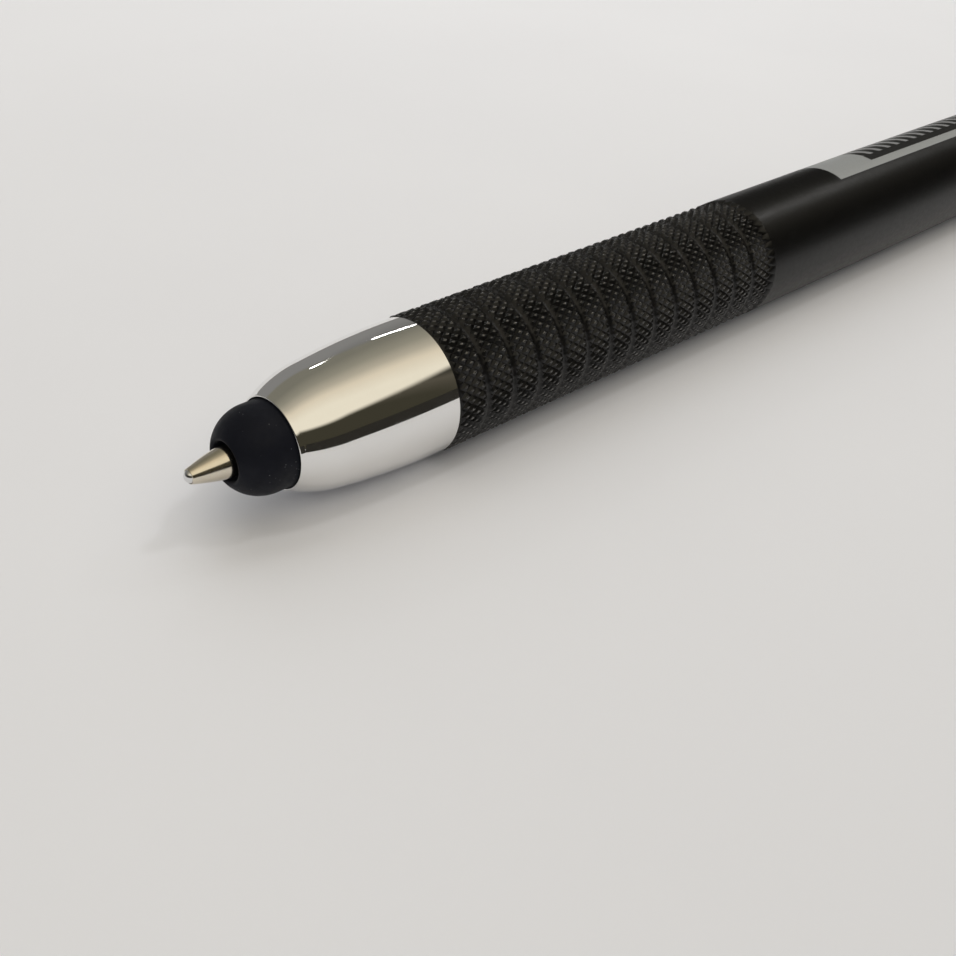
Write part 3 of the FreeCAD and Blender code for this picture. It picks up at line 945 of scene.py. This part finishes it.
def makeButton():
    start, end, r, edge = button["start"], button["end"], button["r"], button["edge"]
    boreEnd, bore, soft, steps = button["boreEnd"], button["bore"], button["startEdge"], button["crownSteps"]
    rim = (end - edge / 2, r - edge / 2)
    stations = [(boreEnd, 0), (boreEnd, bore), (start, bore), (start, r - soft), (start + soft, r)]
    stations += [(end - edge, r)] + arcRun((end - edge, r), rim, edge / 10, 8)
    rise = end - rim[0]
    crownR = (rise ** 2 + rim[1] ** 2) / (2 * rise)
    half = math.degrees(math.asin(rim[1] / crownR))
    turns = [math.radians(half * (1 - n / steps)) for n in range(1, steps + 1)]
    stations += [(end - crownR + crownR * math.cos(t), crownR * math.sin(t)) for t in turns]
    return smoothed(turnShape("buttonTurned", stations, button["sides"]), 35)


seat(makeCollar(), "barrel", "rear_chrome", "top_collar", finish=rearChrome)
seat(makeButton(), "button", "rear_chrome", "push_button", finish=rearChrome)


# clip and return spring, from copies of their CAD nodes

clip = {"rounding": 0.13, "steps": 3, "sharp": 50, "flat": 1.5}


def nodeCopy(name, node):
    # a copy of its own, loose triangles merged, left in edit mode
    clearPick()
    piece = bpy.data.objects.new(name, nodes[node].data.copy())
    piece.data.name = name
    bpy.context.scene.collection.objects.link(piece)
    piece.data.materials.clear()
    bpy.context.view_layer.objects.active = piece
    piece.select_set(True)
    bpy.ops.object.mode_set(mode="EDIT")
    bpy.ops.mesh.select_all(action="SELECT")
    bpy.ops.mesh.remove_doubles(threshold=0.002 * mm)
    return piece


def makeClip():
    bent = nodeCopy("clipBent", "clip")
    bpy.ops.mesh.dissolve_limited(angle_limit=math.radians(clip["flat"]))
    bpy.ops.object.mode_set(mode="OBJECT")
    rounding = bent.modifiers.new("rounding", "BEVEL")
    rounding.width = clip["rounding"] * mm
    rounding.segments = clip["steps"]
    rounding.limit_method = "ANGLE"
    rounding.angle_limit = math.radians(clip["sharp"])
    bpy.ops.object.modifier_apply(modifier=rounding.name)
    return smoothed(bent, 40)


seat(makeClip(), "clip", "clip_chrome", "clip", finish=rearChrome)

# the spring is a smoothed copy of its CAD node, baked where it stands
coil = nodeCopy("springWound", "return_spring")
bpy.ops.object.mode_set(mode="OBJECT")
smoothed(coil, 60)
coil.data.materials.append(springSteel)
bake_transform(coil)
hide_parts("return_spring")
print("piece", coil.name, len(coil.data.polygons), "faces")


# inner pieces keep their shape and get a finish

inner = {
    "refill_nozzle": brass, "refill_tube": refillSteel, "refill_ink": pasteInk(), "ink_seal": sealGrease,
    "refill_plug": whitePlastic, "stylus_core": blackPlastic,
    "nose_insert": blackPlastic, "thread_bush": brass, "cam_guide": whitePlastic,
    "rotor_cam": blackPlastic, "thrust_tube": whitePlastic,
}
for name, finish in inner.items():
    nodes[name].data.materials.clear()
    nodes[name].data.materials.append(finish)
print("inner pieces")
